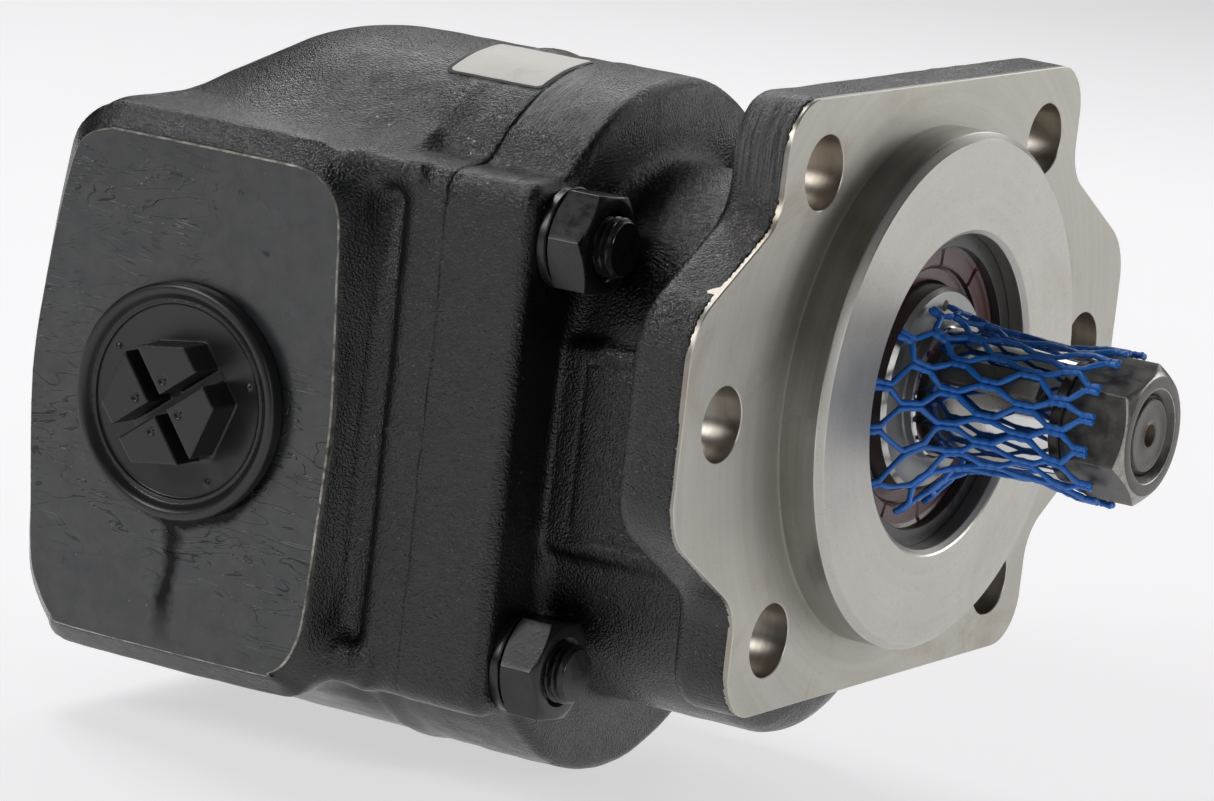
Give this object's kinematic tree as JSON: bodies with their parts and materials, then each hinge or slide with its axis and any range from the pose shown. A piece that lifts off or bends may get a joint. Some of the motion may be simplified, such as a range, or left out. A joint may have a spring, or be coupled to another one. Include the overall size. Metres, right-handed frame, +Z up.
{
  "type": "hydraulic gear pump",
  "caption": "Cast external gear pump with a bolted ear flange, round pilot, keyed taper shaft with nut under a net sleeve, bolted gear housing and capped side ports.",
  "frame": {"origin": "drive-shaft axis at the flange mounting face, at the base of the pilot", "axes": "+X out along the drive shaft, +Z up with the driven gear below the drive gear, port pads on -Y and +Y"},
  "size_m": [0.2186, 0.175, 0.1493],
  "materials": {
    "front_cover": "black painted casting, machined flange face, pilot and seal bore left bare",
    "gear_housing": "black painted grainy casting, smooth dark port pads",
    "drive_gear": "ground hardened steel",
    "driven_gear": "ground hardened steel",
    "input_shaft": "ground steel, bright taper",
    "front_bearing_block": "machined aluminium",
    "rear_bearing_block": "machined aluminium",
    "drive_front_bush": "lined bronze-backed bush",
    "drive_rear_bush": "lined bronze-backed bush",
    "driven_front_bush": "lined bronze-backed bush",
    "driven_rear_bush": "lined bronze-backed bush",
    "front_balance_seal": "moulded rubber",
    "rear_balance_seal": "moulded rubber",
    "cover_seal": "moulded rubber",
    "dowel_pins": "ground steel",
    "cover_studs": "black painted threaded steel",
    "stud_nuts": "black painted steel, edges worn",
    "stud_washers": "black painted steel",
    "bearing_outer_ring": "ground bearing steel",
    "bearing_inner_ring": "ground bearing steel",
    "bearing_balls": "polished bearing steel",
    "bearing_cage": "pressed brass",
    "retaining_ring": "dark phosphated spring steel",
    "shaft_seal": "maroon fluoro rubber",
    "seal_garter_spring": "coiled spring wire",
    "woodruff_key": "dark oiled steel",
    "shaft_washer": "dark oxide spring steel",
    "shaft_nut": "dark oxide steel, bright worn edges",
    "port_plug_near": "black moulded plastic",
    "port_plug_far": "black moulded plastic",
    "name_label": "blank cream sticker",
    "shaft_net_sleeve": "blue extruded plastic netting"
  },
  "bodies": {
    "pump_body": {"front_cover": "front_cover", "gear_housing": "gear_housing", "front_bearing_block": "front_bearing_block", "rear_bearing_block": "rear_bearing_block", "drive_front_bush": "drive_front_bush", "drive_rear_bush": "drive_rear_bush", "driven_front_bush": "driven_front_bush", "driven_rear_bush": "driven_rear_bush", "front_balance_seal": "front_balance_seal", "rear_balance_seal": "rear_balance_seal", "cover_seal": "cover_seal", "dowel_pins": "dowel_pins", "cover_studs": "cover_studs", "stud_nuts": "stud_nuts", "stud_washers": "stud_washers", "bearing_outer_ring": "bearing_outer_ring", "retaining_ring": "retaining_ring", "shaft_seal": "shaft_seal", "seal_garter_spring": "seal_garter_spring", "name_label": "name_label"},
    "drive_shaft": {"input_shaft": "input_shaft", "drive_gear": "drive_gear", "bearing_inner_ring": "bearing_inner_ring", "woodruff_key": "woodruff_key", "shaft_washer": "shaft_washer", "shaft_nut": "shaft_nut"},
    "driven_gear_shaft": {"driven_gear": "driven_gear"},
    "ball_set": {"bearing_balls": "bearing_balls", "bearing_cage": "bearing_cage"},
    "near_port_plug": {"port_plug_near": "port_plug_near"},
    "far_port_plug": {"port_plug_far": "port_plug_far"},
    "net_sleeve": {"shaft_net_sleeve": "shaft_net_sleeve"}
  },
  "joints": [
    {"name": "shaft_spin", "type": "hinge", "parent": "pump_body", "child": "drive_shaft", "pos_m": [0, 0, 0], "axis": [1, 0, 0], "continuous": true},
    {"name": "driven_gear_spin", "type": "hinge", "parent": "pump_body", "child": "driven_gear_shaft", "pos_m": [-0.126, 0, -0.04], "axis": [1, 0, 0], "continuous": true},
    {"name": "ball_set_spin", "type": "hinge", "parent": "pump_body", "child": "ball_set", "pos_m": [-0.0097, 0, 0], "axis": [1, 0, 0], "continuous": true},
    {"name": "near_plug_pull", "type": "slide", "parent": "pump_body", "child": "near_port_plug", "axis": [0, -1, 0], "range_m": [0, 0.03]},
    {"name": "far_plug_pull", "type": "slide", "parent": "pump_body", "child": "far_port_plug", "axis": [0, 1, 0], "range_m": [0, 0.03]},
    {"name": "sleeve_pull", "type": "slide", "parent": "drive_shaft", "child": "net_sleeve", "axis": [1, 0, 0], "range_m": [0, 0.05]}
  ],
  "couplings": [
    {"joint": "driven_gear_spin", "follows": "shaft_spin", "ratio": -1},
    {"joint": "ball_set_spin", "follows": "shaft_spin", "ratio": 0.4352}
  ]
}
